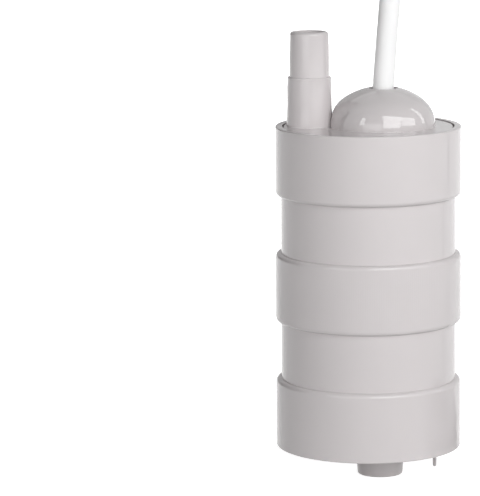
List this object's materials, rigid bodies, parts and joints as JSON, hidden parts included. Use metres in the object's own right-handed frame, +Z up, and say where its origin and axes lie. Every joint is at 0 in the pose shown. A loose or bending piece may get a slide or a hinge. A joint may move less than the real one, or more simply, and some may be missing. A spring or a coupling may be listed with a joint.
{
  "type": "submersible pump",
  "caption": "Slim submersible water pump: ribbed round housing, stepped hose spigot and cable dome on its lid, inlet nozzle below, with its supply cable coiled beside it.",
  "frame": {"origin": "on the housing's axis, at the level of the inlet nozzle's mouth, on which the pump stands", "axes": "+Z up along the housing's axis, -Y to the front, +X from the hose spigot's side to the cable's side"},
  "size_m": [0.1376, 0.0736, 0.1982],
  "materials": {
    "housing_plastic": "glossy light warm grey moulding",
    "inner_plastic": "dark moulding",
    "impeller_plastic": "natural acetal",
    "bell_plastic": "natural nylon",
    "black_rubber": "smooth",
    "potting_resin": "cast",
    "plated_steel": "bright plating",
    "spring_steel": "ground",
    "laminated_steel": "stacked plates",
    "ferrite": "sintered",
    "sintered_bronze": "oiled",
    "brass": "plain",
    "copper": "turned",
    "enamelled_copper": "lacquered",
    "tinned_copper": "tinned",
    "carbon": "pressed",
    "capacitor_resin": "dipped",
    "core_insulation": "brown and blue",
    "cable_sheath": "smooth white"
  },
  "bodies": {
    "housing": {"housing_shell": "housing_plastic", "outlet_lid": "housing_plastic", "lid_o_ring": "black_rubber", "capsule_o_ring": "black_rubber", "cable_dome": "housing_plastic", "cable_grommet": "black_rubber", "potting_plug": "potting_resin", "bottom_cover": "housing_plastic", "bottom_o_ring": "black_rubber", "pump_casing": "inner_plastic", "motor_capsule": "inner_plastic", "lip_seal": "black_rubber", "garter_spring": "spring_steel", "seal_retainer": "spring_steel", "motor_can": "plated_steel", "magnets": "ferrite", "lower_bearing": "sintered_bronze", "upper_bearing": "sintered_bronze", "end_bell": "bell_plastic", "terminals": "brass", "brushes": "carbon", "brush_springs": "brass", "motor_spacer": "inner_plastic", "capacitor": "capacitor_resin", "supply_cores": "core_insulation", "cable": "cable_sheath", "cable_coil": "cable_sheath", "core_ends": "core_insulation", "wire_ferrules": "tinned_copper"},
    "rotor": {"impeller": "impeller_plastic", "shaft": "spring_steel", "armature_core": "laminated_steel", "armature_windings": "enamelled_copper", "commutator_hub": "bell_plastic", "commutator_segments": "copper", "shaft_collars": "bell_plastic"}
  },
  "joints": [
    {"name": "rotor_spin", "type": "hinge", "parent": "housing", "child": "rotor", "pos_m": [0.0032, 0, 0.045], "axis": [0, 0, 1], "continuous": true}
  ]
}
